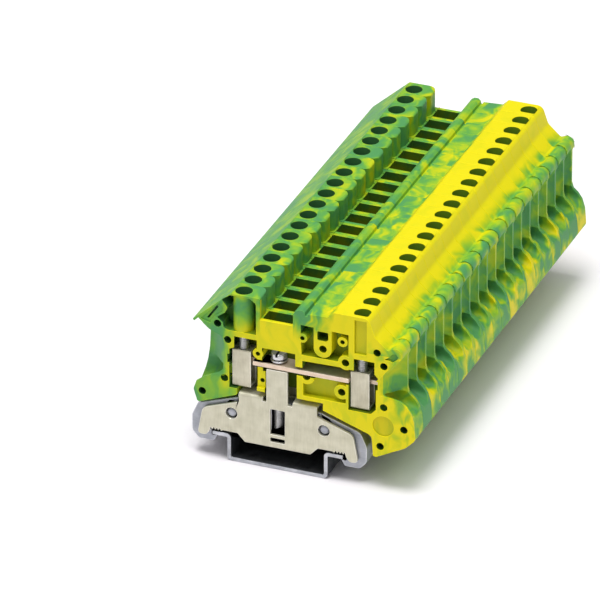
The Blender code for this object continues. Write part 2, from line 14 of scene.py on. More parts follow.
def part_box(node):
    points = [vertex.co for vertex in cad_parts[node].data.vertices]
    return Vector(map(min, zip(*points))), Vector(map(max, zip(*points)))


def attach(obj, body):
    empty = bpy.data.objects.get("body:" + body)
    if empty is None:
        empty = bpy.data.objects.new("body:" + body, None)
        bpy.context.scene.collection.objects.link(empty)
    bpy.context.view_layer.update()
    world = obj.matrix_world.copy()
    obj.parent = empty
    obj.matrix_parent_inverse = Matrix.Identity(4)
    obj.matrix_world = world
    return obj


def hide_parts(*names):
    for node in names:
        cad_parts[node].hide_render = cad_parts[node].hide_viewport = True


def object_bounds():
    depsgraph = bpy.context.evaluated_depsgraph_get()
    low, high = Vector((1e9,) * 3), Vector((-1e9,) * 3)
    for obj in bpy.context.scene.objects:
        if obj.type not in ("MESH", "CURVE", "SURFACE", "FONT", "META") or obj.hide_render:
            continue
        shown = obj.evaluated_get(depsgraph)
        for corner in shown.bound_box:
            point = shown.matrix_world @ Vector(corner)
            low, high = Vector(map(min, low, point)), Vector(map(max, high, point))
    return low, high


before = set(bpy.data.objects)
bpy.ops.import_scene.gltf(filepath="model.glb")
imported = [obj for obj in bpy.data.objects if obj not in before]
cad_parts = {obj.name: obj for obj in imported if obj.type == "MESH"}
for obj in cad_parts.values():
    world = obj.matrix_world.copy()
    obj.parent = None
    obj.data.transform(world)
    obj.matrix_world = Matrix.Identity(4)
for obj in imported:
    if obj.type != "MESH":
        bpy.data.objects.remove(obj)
CAD_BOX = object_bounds()

MM = 0.001
RAIL_LOW, RAIL_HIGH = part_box("din_rail")
ORIGIN = Vector(((RAIL_LOW.x + RAIL_HIGH.x) / 2, RAIL_LOW.y, RAIL_LOW.z))
ROOT = "rail_and_blocks"

# The row and the housing
BLOCKS = sum(name.startswith("housing_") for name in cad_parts) + 1
ROW = (RAIL_HIGH.y - RAIL_LOW.y) / MM
PITCH = ROW / BLOCKS
SLICE = PITCH - 0.06
DEPTH = 5.2
SKIN = 0.7
TOP = 47.6
SHAFT_Y = 2.7
LEFT_SHAFT, RIGHT_SHAFT, EARTH_SHAFT = -9.9, 21.8, -0.5
SHAFT_HOLE, SHAFT_TUBE = 2.2, 2.65
SHELF_LOW, SHELF_HIGH = 35.6, 37.1
SHANK_HOLE = 1.5
BRIDGE_FLOOR = 41.7
PEG_HOLE = 1.0

# The clamps
CAGE_HALF, CAGE_FRONT, CAGE_BACK = 2.5, 0.8, 4.9
CAGE_LOW, CAGE_HIGH, CAGE_SHEET, CAGE_LID = 21.2, 31.6, 0.5, 1.6
CLAMP_THREAD, CLAMP_HEAD = 1.3, 1.95
BAR_LOW, BAR_HIGH = 28.3, 29.5
BAR_LEFT, BAR_RIGHT = -12.9, 26.3
BAR_FRONT, BAR_BACK = 0.2, 4.9
BAR_NARROW_FRONT, BAR_NARROW_BACK = 2.0, 3.9
BAR_NARROW_LEFT, BAR_NARROW_RIGHT = -6.7, 19.0
CLAMP_HEAD_HEIGHT, EARTH_HEAD_HEIGHT, WASHER_HEIGHT = 2.0, 1.6, 0.5
CLEAR = 0.3

# The foot
PLATE_FRONT, PLATE_BACK, PLATE_SHEET = 0.1, 5.8, 0.8
CLAMP_FRONT, CLAMP_BACK = 1.2, 4.7
NECK_LEFT, NECK_RIGHT, NECK_TOP = -3.0, 2.7, 28.0
SHOULDER = 19.8
EARTH_THREAD, EARTH_HEAD, WASHER, EARTH_TIP = 1.3, 2.0, 2.15, 9.9
RIVET_X, RIVET_Z, RIVET = 12.4, 13.5, 1.25

# The rail
RAIL_HALF, HAT_HALF, RAIL_HEIGHT, SHEET = 17.5, 13.5, 7.5, 1.0

BEVEL_ANGLE = math.radians(38)
OUTSIDE, BEYOND = -1.0, 9.0  # where a cutter starts in front of the front face, and ends behind a slice
ROOM_BACK = DEPTH - 0.03
ROOM_LOW, ROOM_LIP = 20.9, 0.5
RIM = 0.12  # radius of the moulded edges
RIGHT_CUT, FRONT_CUT = 0.85, 0.72  # where the right shaft is cut straight, in parts of its radius

# Where the plastic's colours change, in the section frame
LOWER_UP_TO, UPPER_FROM = 37.0, 42.5  # the heights between which the lower chart gives way to the upper
WALL_MIDDLE, WALL_HALF, WALL_BACK = -0.2, 4.4, 0.95  # the wall in front of the bridge channel
YELLOW_DEPTH, YELLOW_TOP, YELLOW_LEFT, YELLOW_GAIN = 0.5, 38.0, 24.0, 0.4  # the front face's lower right


def at(x, y, z):
    return ORIGIN + MM * Vector((x, y, z))


# ------------------------------------------------------------------------------------------ mesh helpers

def rounded(corners, steps=6):
    """The outline through the corners; a corner given as (x, z, radius) becomes an arc of that many steps."""
    points = []
    for i, corner in enumerate(corners):
        x, z = corner[:2]
        if len(corner) == 2:
            points.append((x, z))
            continue
        before, after = corners[i - 1], corners[(i + 1) % len(corners)]
        to_before = math.atan2(before[1] - z, before[0] - x)
        to_after = math.atan2(after[1] - z, after[0] - x)
        turn = (to_after - to_before + math.pi) % (2 * math.pi) - math.pi
        reach = corner[2] / math.sin(abs(turn) / 2)
        middle = to_before + turn / 2
        centre_x, centre_z = x + reach * math.cos(middle), z + reach * math.sin(middle)
        start = to_before - math.copysign(math.pi / 2, turn)
        sweep = math.copysign(math.pi - abs(turn), -turn)
        for step in range(steps + 1):
            angle = start + sweep * step / steps
            points.append((centre_x + corner[2] * math.cos(angle), centre_z + corner[2] * math.sin(angle)))
    return points


def mirrored(right_half):
    return right_half + [(-corner[0], *corner[1:]) for corner in reversed(right_half)]


def disc(x, z, radius, segments=28):
    turn = 2 * math.pi / segments
    return [(x + radius * math.cos(i * turn), z + radius * math.sin(i * turn)) for i in range(segments)]


def box_outline(left, right, low, high):
    return [(left, low), (right, low), (right, high), (left, high)]


def solid(name, rings, look=None, rim_highlight=None, rim_bands=()):
    """A closed body through rings of equally many points, closed by a face at each end.

    The bands of faces whose numbers are in rim_bands take the rim's material, a painted highlight on rounded
    rims.
    """
    shape = bmesh.new()
    loops = [[shape.verts.new(at(*point)) for point in ring] for ring in rings]
    shape.faces.new(loops[0])
    shape.faces.new(loops[-1][::-1])
    for band, (near, far) in enumerate(zip(loops, loops[1:])):
        for i in range(len(near)):
            j = (i + 1) % len(near)
            face = shape.faces.new((near[j], near[i], far[i], far[j]))
            # Faces of index 1 take the rim's painted highlight.
            face.material_index = 1 if band in rim_bands else 0
    bmesh.ops.recalc_face_normals(shape, faces=shape.faces)
    mesh = bpy.data.meshes.new(name)
    shape.to_mesh(mesh)
    shape.free()
    item = bpy.data.objects.new(name, mesh)
    bpy.context.scene.collection.objects.link(item)
    if look:
        mesh.materials.append(look)
    if rim_highlight:
        mesh.materials.append(rim_highlight)
    return item


def along_y(name, outline, front, back, look=None):
    return solid(name, [[(x, y, z) for x, z in outline] for y in (front, back)], look)


def along_x(name, outline, left, right, look=None):
    return solid(name, [[(x, y, z) for y, z in outline] for x in (left, right)], look)


def along_z(name, outline, low, high, look=None):
    return solid(name, [[(x, y, z) for x, y in outline] for z in (low, high)], look)


def turned_z(name, x, y, profile, look=None, segments=32):
    """Turns (radius, z) pairs about a vertical axis."""
    rings = [[(px, py, z) for px, py in disc(x, y, radius, segments)] for radius, z in profile]
    return solid(name, rings, look)


def turned_y(name, x, z, profile, look=None, segments=32):
    """Turns (radius, y) pairs about an axis along the rail."""
    rings = [[(px, y, pz) for px, pz in disc(x, z, radius, segments)] for radius, y in profile]
    return solid(name, rings, look)


def grown(outline, distance):
    """The outline moved outward by a distance at each corner, or inward if it is negative."""
    area = sum(a[0] * b[1] - b[0] * a[1] for a, b in zip(outline, outline[1:] + outline[:1]))
    side = math.copysign(1.0, area)
    moved = []
    for i, (x, z) in enumerate(outline):
        before, after = Vector(outline[i - 1]), Vector(outline[(i + 1) % len(outline)])
        here = Vector((x, z))
        first = (here - before).normalized()
        second = (after - here).normalized()
        normal = Vector((first.y + second.y, -first.x - second.x)) * side
        if normal.length < 1e-6:
            moved.append((x, z))
            continue
        normal.normalize()
        reach = distance / max(0.6, normal.dot(Vector((second.y, -second.x)) * side))
        moved.append((x + normal.x * reach, z + normal.y * reach))
    return moved


def rim_steps(radius):
    """(growth, depth) pairs down a rounded edge, from the surface inward."""
    return [
        (radius * (1 - math.sin(math.radians(angle))), radius * (1 - math.cos(math.radians(angle))))
        for angle in (0, 30, 60, 90)
    ]


def recess(name, outline, depth, look=None):
    """A cutter from the front face down to a depth, with a rounded rim."""
    rings = [[(x, OUTSIDE, z) for x, z in grown(outline, RIM)]]
    for growth, y in rim_steps(RIM):
        rings.append([(x, y, z) for x, z in grown(outline, growth)])
    rings.append([(x, depth, z) for x, z in outline])
    # The rounded rim takes the plastic's painted edge highlight.
    return solid(name, rings, look or PLASTIC, PLASTIC_EDGE_HIGHLIGHT, rim_bands=(1, 2, 3))


def boss(name, outline, back, front=0.03):
    """A boss with a rounded front edge."""
    rings = [[(x, front + y, z) for x, z in grown(outline, -growth)] for growth, y in rim_steps(RIM)]
    rings.append([(x, back, z) for x, z in outline])
    # The rounded front edge takes the plastic's painted edge highlight.
    return solid(name, rings, PLASTIC, PLASTIC_EDGE_HIGHLIGHT, rim_bands=(0, 1, 2))


def settle(item):
    """Applies the modifiers."""
    graph = bpy.context.evaluated_depsgraph_get()
    finished = bpy.data.meshes.new_from_object(item.evaluated_get(graph))
    item.modifiers.clear()
    item.data = finished


def combine(target, operation, tools):
    """Cuts or joins a group of helper solids with one Boolean, and removes them."""
    group = bpy.data.collections.new("tools")
    bpy.context.scene.collection.children.link(group)
    for tool in tools:
        bpy.context.scene.collection.objects.unlink(tool)
        group.objects.link(tool)
    boolean = target.modifiers.new("combine", "BOOLEAN")
    boolean.operation = operation
    boolean.operand_type = "COLLECTION"
    boolean.collection = group
    boolean.solver = "EXACT"
    boolean.material_mode = "TRANSFER"
    settle(target)
    for tool in tools:
        bpy.data.objects.remove(tool, do_unlink=True)
    bpy.data.collections.remove(group)


def tidy(item, weld=2e-6, flat=math.radians(0.6)):
    """Merges doubled points and the flat faces that the Booleans cut up."""
    shape = bmesh.new()
    shape.from_mesh(item.data)
    bmesh.ops.remove_doubles(shape, verts=shape.verts, dist=weld)
    bmesh.ops.dissolve_degenerate(shape, edges=shape.edges, dist=weld)
    bmesh.ops.dissolve_limit(shape, angle_limit=flat, verts=shape.verts, edges=shape.edges,
                             delimit={"MATERIAL"})
    shape.to_mesh(item.data)
    shape.free()


def dress(item, look, edge_highlight=None, edge=0.1, segments=2, sharp=BEVEL_ANGLE):
    """Gives a piece its material, rounds its edges, and shades it smooth between them."""
    if not item.data.materials:
        item.data.materials.append(look)
    tidy(item)
    item.data.shade_smooth()
    item.data.set_sharp_from_angle(angle=sharp)
    if not edge:
        return item
    bevel = item.modifiers.new("edges", "BEVEL")
    bevel.limit_method = "ANGLE"
    bevel.angle_limit = sharp
    bevel.width = edge * MM
    bevel.segments = segments
    bevel.use_clamp_overlap = False
    bevel.harden_normals = True
    bevel.miter_outer = "MITER_ARC"
    # The bevel's faces take the given edge material, a painted highlight on the rounded edges.
    if edge_highlight:
        item.data.materials.append(edge_highlight)
        bevel.material = len(item.data.materials) - 1
    settle(item)
    return item


def smooth(item, sharp=BEVEL_ANGLE):
    """Shades a finished piece smooth between its edges, with its large faces kept flat."""
    item.data.shade_smooth()
    item.data.set_sharp_from_angle(angle=sharp)
    weighted = item.modifiers.new("flat_faces", "WEIGHTED_NORMAL")
    weighted.keep_sharp = True
    weighted.weight = 100
    settle(item)
    return item


def belong(item, body, slot, *nodes):
    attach(item, body)
    if nodes:
        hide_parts(*nodes)


def row_of(item, name):
    """One piece made of the item's copies in the second and all further blocks. The item itself is left."""
    shape = bmesh.new()
    for number in range(2, BLOCKS + 1):
        moved = item.data.copy()
        moved.transform(Matrix.Translation((0, (number - 1) * PITCH * MM, 0)))
        shape.from_mesh(moved)
        bpy.data.meshes.remove(moved)
    mesh = item.data.copy()
    shape.to_mesh(mesh)
    shape.free()
    mesh.name = name
    made = bpy.data.objects.new(name, mesh)
    bpy.context.scene.collection.objects.link(made)
    return made


def shifted_copy(item, name, number):
    """The same piece in block number, counted from one at the front."""
    copy = bpy.data.objects.new(name, item.data.copy())
    copy.data.transform(Matrix.Translation((0, (number - 1) * PITCH * MM, 0)))
    bpy.context.scene.collection.objects.link(copy)
    return copy


# --------------------------------------------------------------------------------------------- materials

def node(tree, kind, inputs=None, **settings):
    """Adds a node. An input given as a socket is linked, and any other value is set on it."""
    made = tree.nodes.new(kind)
    for key, value in settings.items():
        setattr(made, key, value)
    for key, value in (inputs or {}).items():
        if isinstance(value, bpy.types.NodeSocket):
            tree.links.new(value, made.inputs[key])
        else:
            made.inputs[key].default_value = value
    return made


def maths(tree, operation, a, b=0.0, clamp=False):
    return node(tree, "ShaderNodeMath", {0: a, 1: b}, operation=operation, use_clamp=clamp).outputs[0]


def ramp(tree, factor, stops, interpolation="LINEAR"):
    """A colour ramp with (position, colour) stops."""
    made = node(tree, "ShaderNodeValToRGB", {"Fac": factor})
    made.color_ramp.interpolation = interpolation
    while len(made.color_ramp.elements) < len(stops):
        made.color_ramp.elements.new(0.5)
    for element, (position, colour) in zip(made.color_ramp.elements, stops):
        element.position = position
        element.color = (*colour, 1.0)
    return made.outputs["Color"]


def section_place(tree):
    """The surface point in the section's millimetres."""
    raw = node(tree, "ShaderNodeTexCoord").outputs["Object"]
    moved = node(tree, "ShaderNodeVectorMath", {0: raw, 1: ORIGIN}, operation="SUBTRACT").outputs[0]
    return node(tree, "ShaderNodeVectorMath", {0: moved, "Scale": 1 / MM}, operation="SCALE").outputs[0]


def start_material(name):
    made = bpy.data.materials.new(name)
    made.use_nodes = True
    return made, made.node_tree, made.node_tree.nodes["Principled BSDF"]


def srgb(red, green, blue):
    """Linear colour from the usual 0 to 255 values."""
    def linear(value):
        value /= 255
        return value / 12.92 if value <= 0.04045 else ((value + 0.055) / 1.055) ** 2.4
    return (linear(red), linear(green), linear(blue))


LEFT_EDGE, RIGHT_EDGE = -24.0, 38.0


def across(x):
    return (x - LEFT_EDGE) / (RIGHT_EDGE - LEFT_EDGE)


def polyamide(name, painted_brightness=1.0, lift=0.0, calm=1.0):
    """Green and yellow polyamide, marbled as the two colours flow into each block's mould.

    The red channel of each map across the section is the share of yellow, the green one how lively the
    marbling is there. lift adds yellow, and calm scales the marbling. The second argument scales the colour's
    value: below one it paints shade into recesses, holes and shafts, above one a highlight onto rounded
    edges.
    lift goes with it, greener in the painted shade and yellower in the painted highlight.
    """
    made, tree, shader = start_material(name)
    place = section_place(tree)
    parts = node(tree, "ShaderNodeSeparateXYZ", {0: place})
    x, y, z = parts.outputs
    block = maths(tree, "FLOOR", maths(tree, "DIVIDE", maths(tree, "ADD", y, 0.03), PITCH))
    seed = maths(tree, "MULTIPLY", block, 4.37)

    warp = node(tree, "ShaderNodeTexNoise", {"Vector": place, "W": seed, "Scale": 0.11, "Detail": 2.0},
                noise_dimensions="4D").outputs["Color"]
    centred = node(tree, "ShaderNodeVectorMath", {0: warp, 1: (0.5, 0.5, 0.5)},
                   operation="SUBTRACT").outputs[0]
    push = node(tree, "ShaderNodeVectorMath", {0: centred, "Scale": 14.0}, operation="SCALE").outputs[0]
    flowing = node(tree, "ShaderNodeVectorMath", {0: place, 1: push}, operation="ADD").outputs[0]
    stretched = node(tree, "ShaderNodeMapping", {"Vector": flowing, "Rotation": (0.25, 0.35, 0.0),
                                                "Scale": (1.0, 0.55, 0.38)}).outputs[0]
    swirl = node(tree, "ShaderNodeTexNoise", {"Vector": stretched, "W": seed, "Scale": 0.26, "Detail": 2.0,
                                              "Roughness": 0.45, "Distortion": 0.3},
                 noise_dimensions="4D").outputs["Fac"]
    swirl = node(tree, "ShaderNodeMapRange", {"Value": swirl, "From Min": 0.3, "From Max": 0.7,
                                              "To Min": -1.0, "To Max": 1.0},
                 interpolation_type="SMOOTHSTEP").outputs[0]
    threads = node(tree, "ShaderNodeTexNoise", {"Vector": stretched, "W": seed, "Scale": 1.1, "Detail": 2.0},
                   noise_dimensions="4D").outputs["Fac"]
    threads = maths(tree, "MULTIPLY", maths(tree, "SUBTRACT", threads, 0.5), 0.8)

    wander = node(tree, "ShaderNodeTexNoise", {"Vector": place, "W": seed, "Scale": 0.16, "Detail": 1.0},
                  noise_dimensions="4D").outputs["Fac"]
    wander = maths(tree, "MULTIPLY", maths(tree, "SUBTRACT", wander, 0.5), 5.0)
    spread = node(tree, "ShaderNodeMapRange", {"Value": maths(tree, "ADD", x, wander), "From Min": LEFT_EDGE,
                                               "From Max": RIGHT_EDGE}).outputs[0]
    upper = ramp(tree, spread, [
        (across(-24), (0.2, 0.18, 0)), (across(-12), (0.28, 0.28, 0)), (across(-5), (0.34, 0.38, 0)),
        (across(0), (0.34, 0.3, 0)), (across(4), (0.24, 0.32, 0)), (across(8), (0.3, 0.42, 0)),
        (across(13.4), (0.44, 0.46, 0)), (across(14.8), (0.95, 0.06, 0)), (across(27.6), (0.95, 0.06, 0)),
        (across(29.6), (0.6, 0.4, 0)), (across(31.5), (0.42, 0.4, 0)), (across(38), (0.38, 0.4, 0)),
    ])
    lower = ramp(tree, spread, [
        (across(-24), (0.14, 0.16, 0)), (across(-15), (0.24, 0.3, 0)), (across(-12), (0.6, 0.25, 0)),
        (across(-9), (0.86, 0.1, 0)), (across(24), (0.88, 0.12, 0)), (across(27), (0.5, 0.35, 0)),
        (across(31), (0.24, 0.3, 0)), (across(33), (0.24, 0.4, 0)), (across(36), (0.4, 0.6, 0)),
    ])
    height = node(tree, "ShaderNodeMapRange", {"Value": z, "From Min": LOWER_UP_TO, "From Max": UPPER_FROM},
                  interpolation_type="SMOOTHSTEP").outputs[0]
    # The wall in front of the front block's bridge channel keeps the lower chart up to its top.
    from_middle = maths(tree, "ABSOLUTE", maths(tree, "ADD", x, -WALL_MIDDLE))
    beside_wall = maths(tree, "GREATER_THAN", from_middle, WALL_HALF)
    off_wall = maths(tree, "MAXIMUM", maths(tree, "GREATER_THAN", y, WALL_BACK), beside_wall)
    height = maths(tree, "MULTIPLY", height, off_wall)
    chart = node(tree, "ShaderNodeMixRGB", {"Fac": height, "Color1": lower, "Color2": upper}).outputs[0]
    share = node(tree, "ShaderNodeSeparateColor", {0: chart})
    lively = maths(tree, "MULTIPLY", share.outputs[1], calm)
    marbled = maths(tree, "MULTIPLY", maths(tree, "ADD", swirl, threads), lively)
    # The front face's lower right is yellower than the same place on the blocks behind.
    front_low = maths(tree, "MULTIPLY", maths(tree, "LESS_THAN", y, YELLOW_DEPTH),
                      maths(tree, "LESS_THAN", z, YELLOW_TOP))
    front_right = maths(tree, "MULTIPLY", front_low, maths(tree, "GREATER_THAN", x, YELLOW_LEFT))
    moulded = maths(tree, "ADD", maths(tree, "MULTIPLY", front_right, YELLOW_GAIN), lift)
    yellow = maths(tree, "ADD", maths(tree, "ADD", share.outputs[0], marbled), moulded, clamp=True)
    colour = ramp(tree, yellow, [
        (0.0, srgb(80, 150, 86)), (0.22, srgb(98, 166, 66)), (0.48, srgb(142, 186, 42)),
        (0.72, srgb(192, 200, 14)), (0.95, srgb(226, 214, 4)),
    ])
    # The colour's value is scaled here: below one for painted shade, above one for a painted highlight.
    if painted_brightness != 1.0:
        colour = node(tree, "ShaderNodeHueSaturation", {"Color": colour, "Value": painted_brightness}).outputs[0]
    tree.links.new(colour, shader.inputs["Base Color"])

    grain = node(tree, "ShaderNodeTexNoise", {"Vector": place, "Scale": 5.0, "Detail": 3.0}).outputs["Fac"]
    rough = node(tree, "ShaderNodeMapRange", {"Value": grain, "From Min": 0.3, "From Max": 0.7,
                                              "To Min": 0.42, "To Max": 0.56}).outputs[0]
    tree.links.new(rough, shader.inputs["Roughness"])
    bump = node(tree, "ShaderNodeBump", {"Strength": 0.12, "Distance": 0.00004, "Height": grain}).outputs[0]
    tree.links.new(bump, shader.inputs["Normal"])
    shader.inputs["Specular IOR Level"].default_value = 0.22
    return made


def metal(name, bright, dull, roughness, stretch, metallic=0.9, relief=0.15):
    """Plated or rolled metal: drawn grain along one direction, with duller patches."""
    made, tree, shader = start_material(name)
    place = section_place(tree)
    drawn = node(tree, "ShaderNodeMapping", {"Vector": place, "Scale": stretch}).outputs[0]
    grain = node(tree, "ShaderNodeTexNoise", {"Vector": drawn, "Scale": 2.2, "Detail": 4.0,
                                              "Roughness": 0.6}).outputs["Fac"]
    patches = node(tree, "ShaderNodeTexNoise", {"Vector": place, "Scale": 0.35, "Detail": 3.0}).outputs["Fac"]
    mixed = maths(tree, "ADD", maths(tree, "MULTIPLY", grain, 0.35), maths(tree, "MULTIPLY", patches, 0.65))
    colour = ramp(tree, mixed, [(0.32, dull), (0.66, bright)])
    tree.links.new(colour, shader.inputs["Base Color"])
    rough = node(tree, "ShaderNodeMapRange", {"Value": mixed, "From Min": 0.35, "From Max": 0.65,
                                              "To Min": roughness + 0.1,
                                              "To Max": roughness - 0.06}).outputs[0]
    tree.links.new(rough, shader.inputs["Roughness"])
    bump = node(tree, "ShaderNodeBump", {"Strength": relief, "Distance": 0.00003, "Height": grain}).outputs[0]
    tree.links.new(bump, shader.inputs["Normal"])
    shader.inputs["Metallic"].default_value = metallic
    return made


PLASTIC = polyamide("marbled_polyamide")
# A lighter, yellower copy of the plastic: a painted highlight for rounded edges and rims.
PLASTIC_EDGE_HIGHLIGHT = polyamide("marbled_polyamide_painted_edge_highlight", painted_brightness=1.1, lift=0.08, calm=0.8)
# Painted shade: darker, greener copies of the plastic for the insides of rooms, holes, shafts, pockets and
# recesses.
PLASTIC_PAINTED_DEEP_SHADE = polyamide("marbled_polyamide_painted_deep_shade", painted_brightness=0.34, lift=-0.3, calm=0.6)
PLASTIC_PAINTED_SHAFT_SHADE = polyamide("marbled_polyamide_painted_shaft_shade", painted_brightness=0.58, lift=-0.5, calm=0.7)
PLASTIC_PAINTED_POCKET_SHADE = polyamide("marbled_polyamide_painted_pocket_shade", painted_brightness=0.36, lift=-0.12, calm=0.7)
PLASTIC_PAINTED_RECESS_SHADE = polyamide("marbled_polyamide_painted_recess_shade", painted_brightness=0.58, lift=-0.25, calm=0.7)
PLASTIC_PAINTED_FLOOR_SHADE = polyamide("marbled_polyamide_painted_floor_shade", painted_brightness=0.8, lift=-0.08, calm=0.7)

UPRIGHT, SIDEWAYS, LENGTHWISE = (1.6, 1.6, 0.12), (0.12, 1.6, 1.6), (1.6, 0.1, 1.6)
TIN = metal("tinned_plate", srgb(212, 209, 187), srgb(190, 187, 163), 0.42, UPRIGHT, metallic=0.35)
# A lighter, glossier copy of the tinned plate: a painted highlight for its rounded edges.
TIN_EDGE_HIGHLIGHT = metal("tinned_plate_painted_edge_highlight", srgb(242, 240, 228), srgb(222, 220, 204), 0.34, UPRIGHT, metallic=0.4)
CAGE_TIN = metal("cage_plating", srgb(206, 202, 180), srgb(178, 173, 150), 0.36, UPRIGHT, metallic=0.55)
ZINC = metal("zinc_clamp", srgb(176, 179, 186), srgb(142, 146, 154), 0.4, SIDEWAYS, metallic=0.5)
# A lighter, glossier copy of the zinc: a painted highlight for its rounded edges.
ZINC_EDGE_HIGHLIGHT = metal("zinc_clamp_painted_edge_highlight", srgb(220, 222, 228), srgb(182, 185, 192), 0.32, SIDEWAYS, metallic=0.6)
COPPER = metal("current_bar", srgb(232, 212, 190), srgb(212, 190, 166), 0.34, SIDEWAYS, metallic=0.5)
# A lighter copy of the bar's metal: a painted highlight for its rounded edges.
COPPER_EDGE_HIGHLIGHT = metal("current_bar_painted_edge_highlight", srgb(244, 228, 210), srgb(224, 206, 186), 0.3, SIDEWAYS, metallic=0.5)
STEEL = metal("screw_steel", srgb(222, 222, 222), srgb(176, 176, 176), 0.3, LENGTHWISE, metallic=0.75)
GALVANISED = metal("rail_steel", srgb(122, 125, 130), srgb(84, 87, 92), 0.42, LENGTHWISE)
# Lighter steel: the sawn ends' own bare-steel colour, and a painted highlight on the rounded edges.
GALVANISED_SAWN_AND_HIGHLIGHT = metal("rail_steel_sawn_and_painted_edge_highlight", srgb(200, 203, 208), srgb(150, 153, 158), 0.36, SIDEWAYS)


# ---------------------------------------------------------------------------------------------- housings

def housing_outline(steps=6):
    """The closed wall's section: wings, lower lips, shaft columns, bridge channel and marking groove."""
    left = [
        (-4.6, TOP, 0.6), (-12.4, TOP, 0.6), (-22.7, 38.4, 0.15), (-22.3, 37.9), (-21.2, 39.0), (-19.9, 37.8),
        (-19.9, 33.0, 6.0), (-20.1, 28.6), (-20.6, 25.2), (-21.3, 22.4), (-22.6, 18.6, 1.5),
        (-21.5, 15.0, 0.6),
        (-10.9, 19.1), (-10.9, 21.3),
    ]
    right = [
        (12.2, 21.3), (12.2, 19.3), (25.2, 14.8, 1.6), (25.6, 9.1, 0.2), (26.5, 9.0, 0.2), (34.2, 13.0, 3.0),
        (36.8, 15.6, 1.4), (36.4, 20.4), (35.6, 23.0), (34.5, 24.6), (33.2, 25.7), (32.7, 27.4),
        (32.7, 36.6), (33.2, 37.7), (32.9, 39.2), (32.1, 40.0), (31.4, 40.3), (30.6, 40.1), (29.4, 39.7, 0.6),
        (25.9, 42.9, 2.6), (24.3, TOP, 1.9), (15.0, TOP, 0.3), (13.4, 46.0), (8.1, 45.7), (8.0, 45.1),
        (7.5, 45.1), (7.3, 46.0), (6.6, 46.5, 0.3), (5.6, 46.5, 0.6), (4.8, 46.0, 0.4), (4.2, 45.0),
        (4.2, BRIDGE_FLOOR), (-4.6, BRIDGE_FLOOR),
    ]
    return rounded([*left, *right], steps)


def trough(name, stations, look=None):
    """A cutter lofted across the section from (x, low z, high z, front y, back y, radius) stations.

    Its two back corners are rounded, and its two front ones too where it starts behind the skin.
    """
    rings = []
    for x, low, high, front, back, radius in stations:
        front_radius = (radius,) if front > 0 else ()
        ring = rounded([
            (front, low, *front_radius), (back, low, radius), (back, high, radius), (front, high),
        ], steps=5)
        rings.append([(x, y, z) for y, z in ring])
    return solid(name, rings, look)


def blend(share):
    """Zero to one with soft ends."""
    return share * share * (3 - 2 * share)


def funnel_mouth(name, inner, outer, low_line, high_line):
    """The wire entry's open mouth: it leaves the front plane at inner and is one housing deep at outer."""
    steps = 9
    depth = DEPTH - 0.05
    stations = []
    for step in range(steps + 1):
        share = step / steps
        x = inner + (outer - inner) * share
        back = 0.02 + (depth - 0.02) * blend(share)
        radius = min(1.5, 0.45 * (back + 1))
        stations.append((x, on_line(low_line, x), on_line(high_line, x), OUTSIDE, back, radius))
    for x in (outer + math.copysign(1.5, outer), outer + math.copysign(14.0, outer)):
        stations.append((x, on_line(low_line, x), on_line(high_line, x), OUTSIDE, depth, 1.5))
    return trough(name, stations)


def on_line(line, x):
    """Height at x on a line of (x, z) points listed outward from the rail."""
    for (x0, z0), (x1, z1) in zip(line, line[1:]):
        if min(x0, x1) <= x <= max(x0, x1):
            return z0 + (z1 - z0) * (x - x0) / (x1 - x0)
    return line[0][1] if abs(x) < abs(line[0][0]) else line[-1][1]


def funnel_cutters():
    left_low = [(-13.0, 25.9), (-19.6, 22.6), (-21.4, 21.2), (-40.0, 10.0)]
    left_high = [(-13.0, 33.0), (-15.2, 35.2), (-18.0, 36.2), (-19.9, 37.8), (-40.0, 37.8)]
    right_low = [(26.3, 26.4), (30.0, 26.3), (32.6, 25.9), (34.4, 24.7), (46.0, 16.0)]
    right_high = [(26.9, 30.6), (27.4, 31.8), (33.4, 38.3), (46.0, 52.0)]
    left_trough = [(-12.6, 23.2), (-17.0, 22.4), (-20.4, 20.4), (-24.0, 17.0)]
    right_trough = [(26.0, 23.0), (32.0, 23.3), (35.0, 22.2), (40.0, 18.0)]
    roof = 27.0
    return [
        funnel_mouth("left_mouth", -13.2, -19.9, left_low, left_high),
        funnel_mouth("right_mouth", 27.0, 32.7, right_low, right_high),
        *(trough(name, [(x, low, roof, SKIN, DEPTH - 0.02, 1.4) for x, low in line])
          for name, line in (("left_trough", left_trough), ("right_trough", right_trough))),
    ]


def bore(name, outline, low, look, rim):
    """An upright opening in the top, with a rounded rim if one is asked for."""
    rings = [[(x, y, low) for x, y in outline]]
    steps = rim_steps(RIM) if rim else [(0.0, 0.0)]
    for growth, depth in reversed(steps):
        rings.append([(x, y, TOP - depth) for x, y in grown(outline, growth)])
    rings.append([(x, y, TOP + 2) for x, y in grown(outline, steps[0][0])])
    # A rounded rim takes the plastic's painted edge highlight.
    return solid(name, rings, look, PLASTIC_EDGE_HIGHLIGHT if rim else None, rim_bands=(1, 2, 3) if rim else ())


